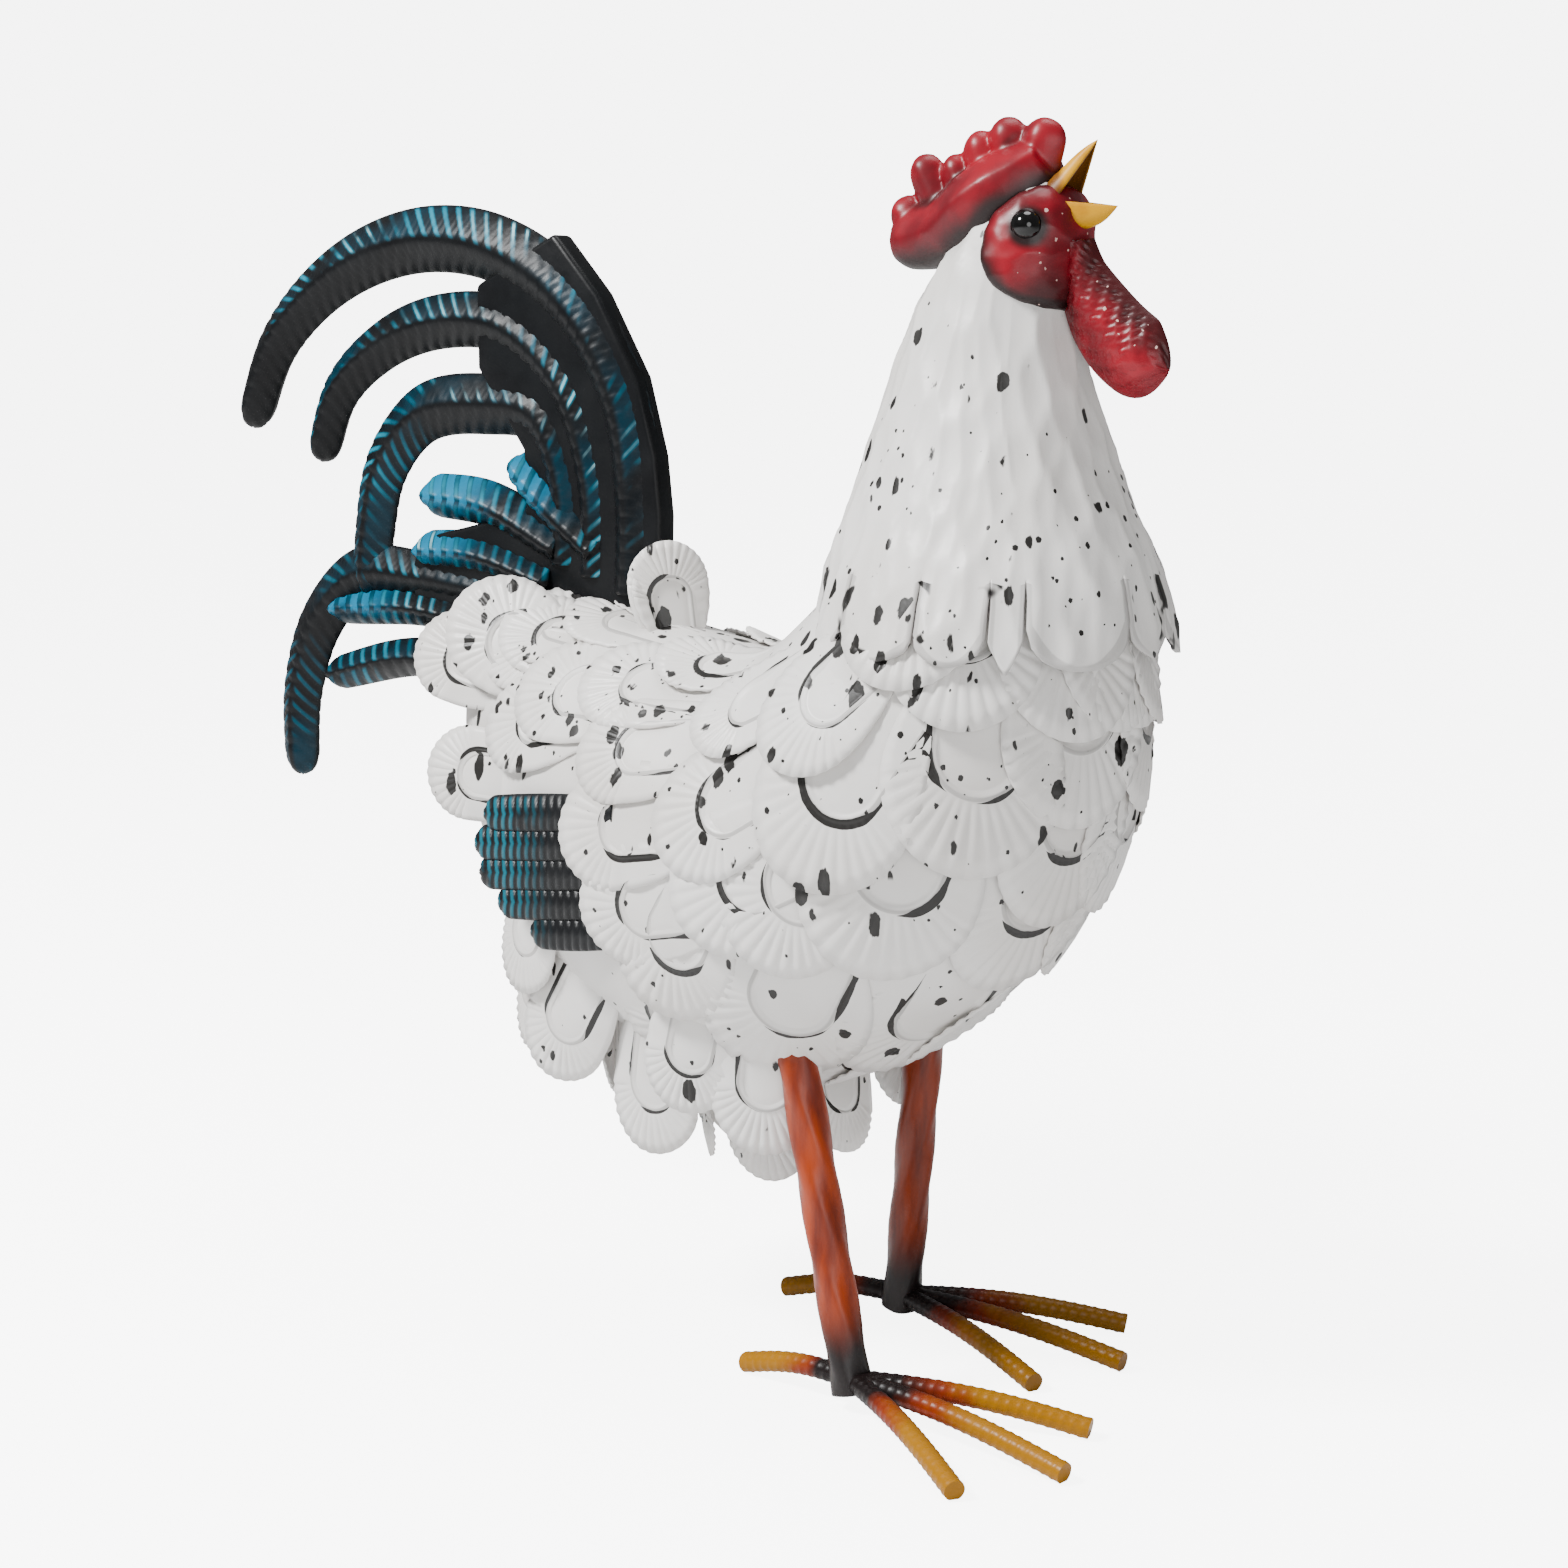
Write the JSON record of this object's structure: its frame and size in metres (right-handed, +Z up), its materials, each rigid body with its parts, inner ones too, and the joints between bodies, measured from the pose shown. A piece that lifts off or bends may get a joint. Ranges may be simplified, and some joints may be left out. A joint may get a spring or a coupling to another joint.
{
  "type": "rooster statue",
  "caption": "Standing sheet-metal rooster with overlapping feather plates, a curved plume tail, twisted legs and rod toes.",
  "frame": {"origin": "middle of the statue's outline on the ground it stands on", "axes": "+X towards the beak, +Y towards the bird's left side, +Z up"},
  "size_m": [0.4735, 0.1899, 0.4849],
  "materials": {
    "white_enamel": "satin",
    "red_enamel": "satin",
    "teal_black_enamel": "satin",
    "yellow_enamel": "satin",
    "black_gloss": "gloss",
    "orange_brown_enamel": "satin"
  },
  "bodies": {
    "root": {"body": "white_enamel", "neck": "white_enamel", "tail": "teal_black_enamel", "flight_feathers_right": "teal_black_enamel", "flight_feathers_left": "teal_black_enamel", "comb": "red_enamel", "face": "red_enamel", "wattle": "red_enamel", "beak_upper": "yellow_enamel", "beak_lower": "yellow_enamel", "eye_right": "black_gloss", "eye_left": "black_gloss", "leg_right": "orange_brown_enamel", "leg_left": "orange_brown_enamel", "toe_right_middle": "orange_brown_enamel", "toe_right_outer": "orange_brown_enamel", "toe_right_inner": "orange_brown_enamel", "toe_right_back": "orange_brown_enamel", "toe_left_middle": "orange_brown_enamel", "toe_left_outer": "orange_brown_enamel", "toe_left_inner": "orange_brown_enamel", "toe_left_back": "orange_brown_enamel"}
  },
  "joints": []
}
